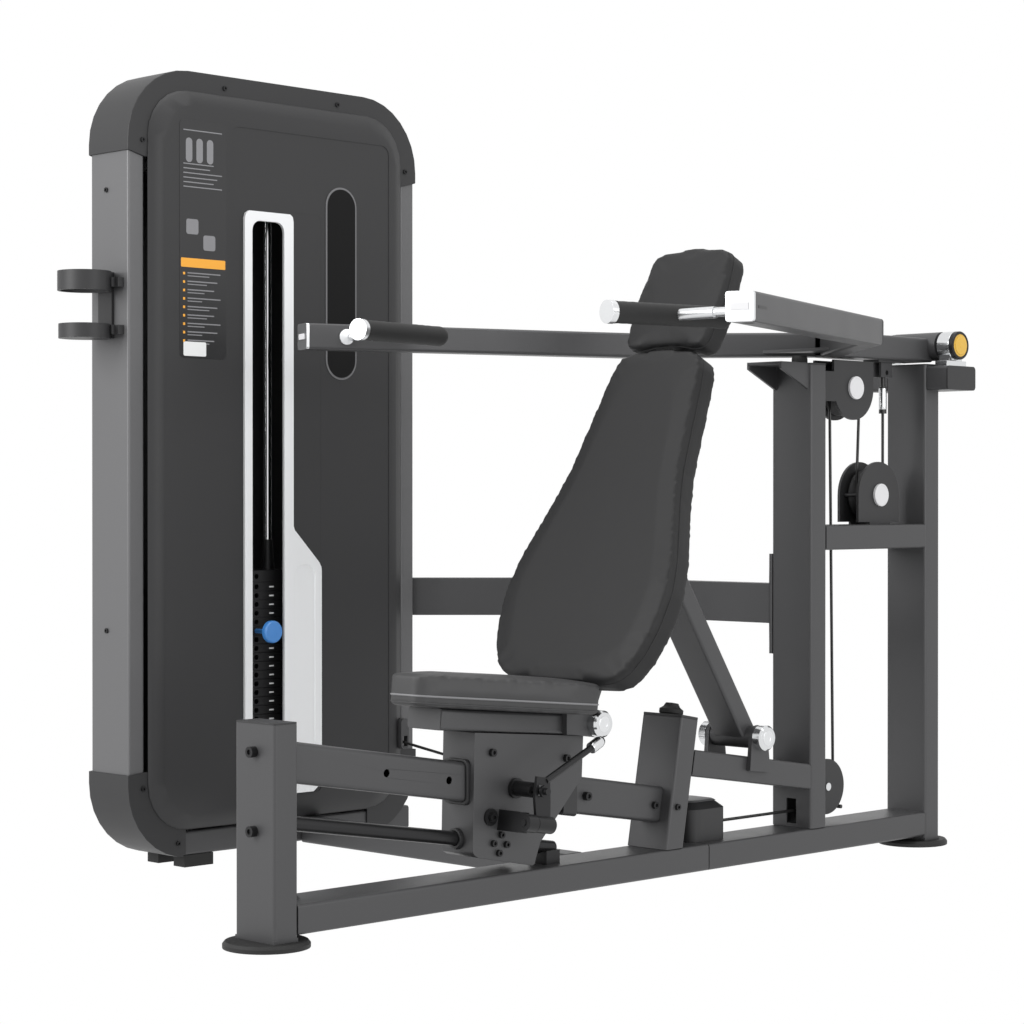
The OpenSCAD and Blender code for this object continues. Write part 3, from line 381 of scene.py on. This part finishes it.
def cushion(node, name, body, origin, out, depth, voxel=0.006, round_=0.012, dome=0.5, mat="cushion"):
    """out: unit vector from the board towards the padded face; depth: thickness in m."""
    src = N[node]
    o = bpy.data.objects.new(name, src.data.copy())
    scene.collection.objects.link(o)
    w = o.modifiers.new("w", "WELD")
    w.merge_threshold = 0.00002
    b = o.modifiers.new("b", "BEVEL")
    b.width, b.segments, b.limit_method, b.angle_limit = round_, 5, "ANGLE", math.radians(60)
    r = o.modifiers.new("r", "REMESH")
    r.mode, r.voxel_size = "VOXEL", voxel
    sm = o.modifiers.new("s", "SMOOTH")
    sm.factor, sm.iterations = 0.5, 3
    apply_mods(o)
    out = Vector(out).normalized()
    rest = np.array([v.co for v in o.data.vertices])
    h = (rest - np.array(P(*origin))) @ np.array(out)  # 0 at the board, depth at the face
    g = o.vertex_groups.new(name="pin")
    for i, a in enumerate(h):
        g.add([i], float(np.clip(1.0 - (a - 0.004) / (0.35 * depth), 0, 1)), "REPLACE")
    c = o.modifiers.new("cloth", "CLOTH")
    s = c.settings
    s.quality = 5
    s.mass = 0.3
    s.tension_stiffness = s.compression_stiffness = 18
    s.shear_stiffness = 8
    s.bending_stiffness = 0.6
    s.use_pressure = True
    s.uniform_pressure_force = dome
    s.effector_weights.gravity = 0
    s.vertex_group_mass = "pin"
    c.collision_settings.use_self_collision = False
    c.point_cache.frame_start, c.point_cache.frame_end = 1, 20
    for f in range(1, 21):
        scene.frame_set(f)
    dg = bpy.context.evaluated_depsgraph_get()
    ev = o.evaluated_get(dg)
    now = np.array([v.co for v in ev.data.vertices])
    o.modifiers.clear()
    move = now - rest
    size = np.linalg.norm(move, axis=1, keepdims=True)
    cap = 0.0055
    move = move * np.minimum(1.0, cap / np.maximum(size, 1e-9))
    new = rest + move
    o.data.vertices.foreach_set("co", new.astype(np.float32).ravel())
    o.data.update()
    scene.frame_set(1)
    sd = o.modifiers.new("sub", "SUBSURF")
    sd.levels = sd.render_levels = 1
    apply_mods(o)
    print(name, "moved", round(float(size.max()) * 1000, 1), "mm at most, faces", len(o.data.polygons))
    for p in o.data.polygons:
        p.use_smooth = True
    o.data.materials.clear()
    o.data.materials.append(M[mat])
    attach(o, body)
    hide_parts(node)
    return o


def seam(name, pad, body, origin, out, level, radius, mat, lift=0.0, n=260):
    """A welt round the cushion where the plane at this height meets it."""
    out = Vector(out).normalized()
    bm = bmesh.new()
    bm.from_mesh(pad.data)
    c = P(*origin) + out * level
    res = bmesh.ops.bisect_plane(bm, geom=bm.verts[:] + bm.edges[:] + bm.faces[:], plane_co=c, plane_no=out)
    cut = [e for e in res["geom_cut"] if isinstance(e, bmesh.types.BMEdge)]
    link = {}
    for e in cut:
        a, b = e.verts
        link.setdefault(a, []).append(b)
        link.setdefault(b, []).append(a)
    best = []
    seen = set()
    for s0 in link:
        if s0 in seen:
            continue
        path, cur, prev = [s0], s0, None
        seen.add(s0)
        while True:
            nx = [q for q in link[cur] if q is not prev and q not in seen]
            if not nx:
                break
            prev, cur = cur, nx[0]
            seen.add(cur)
            path.append(cur)
        if len(path) > len(best):
            best = path
    pts = [v.co.copy() for v in best]
    bm.free()
    cen = sum(pts, Vector()) / len(pts)
    # even spacing
    arr = np.array(pts + [pts[0]])
    seg = np.linalg.norm(np.diff(arr, axis=0), axis=1)
    s = np.concatenate([[0], np.cumsum(seg)])
    t = np.linspace(0, s[-1], n, endpoint=False)
    ring = np.stack([np.interp(t, s, arr[:, k]) for k in range(3)], axis=1)
    for _ in range(3):
        ring = (np.roll(ring, 1, 0) + 2 * ring + np.roll(ring, -1, 0)) / 4
    v, f = [], []
    m = 10
    for i in range(n):
        tan = Vector(ring[(i + 1) % n] - ring[i - 1]).normalized()
        side = tan.cross(out).normalized()
        if side.dot(Vector(ring[i]) - cen) < 0:
            side = -side
        base = Vector(ring[i]) + side * lift
        for k in range(m):
            a = 2 * math.pi * k / m
            v.append(base + (side * math.cos(a) + out * math.sin(a)) * radius)
    for i in range(n):
        for k in range(m):
            j = (i + 1) % n
            f.append([i * m + k, i * m + (k + 1) % m, j * m + (k + 1) % m, j * m + k])
    return new_mesh(name, v, f, mat, body, 0)


lean = math.radians(25.4)
front_out = (0, -math.cos(lean), math.sin(lean))
nb = Vector((0, math.cos(lean), -math.sin(lean)))
board = (0, 703 + 56 * nb.y, 415 + 56 * nb.z)
back = cushion("back_pad", "back_cushion", "backrest", board, front_out, 0.056)
head = cushion("head_pad", "head_cushion", "backrest", board, front_out, 0.056)
sa_ = math.radians(4.9)
seat_out = (0, math.sin(sa_), math.cos(sa_))
# the seat gets the lighter seat_cushion copy of the vinyl: painted light on the seat
seat = cushion("seat_pad", "seat_cushion", "carriage", (0, 328, 374), seat_out, 0.056, round_=0.010, mat="seat_cushion")
# seat welt in light grey: the piping is real, its light colour is a painted highlight along the edge
seam("seat_welt", seat, "carriage", (0, 328, 374), seat_out, 0.019, 0.0019, M["welt"], 0.0003)
seam("seat_welt_low", seat, "carriage", (0, 328, 374), seat_out, 0.007, 0.0016, M["seat_cushion"], 0.0002)
seam("back_welt", back, "backrest", board, front_out, 0.038, 0.0014, M["cushion"], 0.0)
seam("head_welt", head, "backrest", board, front_out, 0.038, 0.0014, M["cushion"], 0.0)

# ---------------------------------------------------------------- cable that follows the arm
for name, node in (("arm_cable_run", "arm_cable"),):
    o = bpy.data.objects.new(name, N[node].data.copy())
    scene.collection.objects.link(o)
    o.data.materials.clear()
    o.data.materials.append(M["cable_jacket"])
    soften(o, 0)
    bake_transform(o)
    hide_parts(node)
lathe("clevis_turnbuckle", (0, 1680, 0), (0, 0, 1), [(908, 4.6), (910, 6), (914, 8.2), (922, 8.4), (950, 8.4), (957, 8.2), (960, 6), (962, 4.6)], M["bright_metal"], "press_arm")
o = bpy.data.objects.new("stack_cable_run", N["stack_cable"].data.copy())
scene.collection.objects.link(o)
o.data.materials.clear()
o.data.materials.append(M["cable_jacket"])
soften(o, 0)
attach(o, "frame")
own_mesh(o)
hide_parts("stack_cable")

# ---------------------------------------------------------------- light
world = bpy.data.worlds.new("world")
scene.world = world
world.use_nodes = True
bg = world.node_tree.nodes["Background"]
bg.inputs["Color"].default_value = (1, 1, 1, 1)
bg.inputs["Strength"].default_value = 1.0
scene.view_settings.view_transform = "Standard"
scene.view_settings.look = "None"


def area(name, loc, target, size, power):
    l = bpy.data.lights.new(name, "AREA")
    l.shape = "RECTANGLE"
    l.size, l.size_y = size
    l.energy = power
    o = bpy.data.objects.new(name, l)
    scene.collection.objects.link(o)
    o.location = loc
    o.rotation_euler = (Vector(target) - Vector(loc)).to_track_quat("-Z", "Y").to_euler()
    return o


area("key", (-1.2, -4.2, 2.4), (0, 0, 0.8), (2.2, 3.0), 150)
area("top", (0.4, -0.3, 4.2), (0, 0, 0.5), (3.0, 3.0), 60)
area("side", (4.2, 0.2, 1.4), (0.2, 0.1, 0.6), (2.4, 2.2), 45)
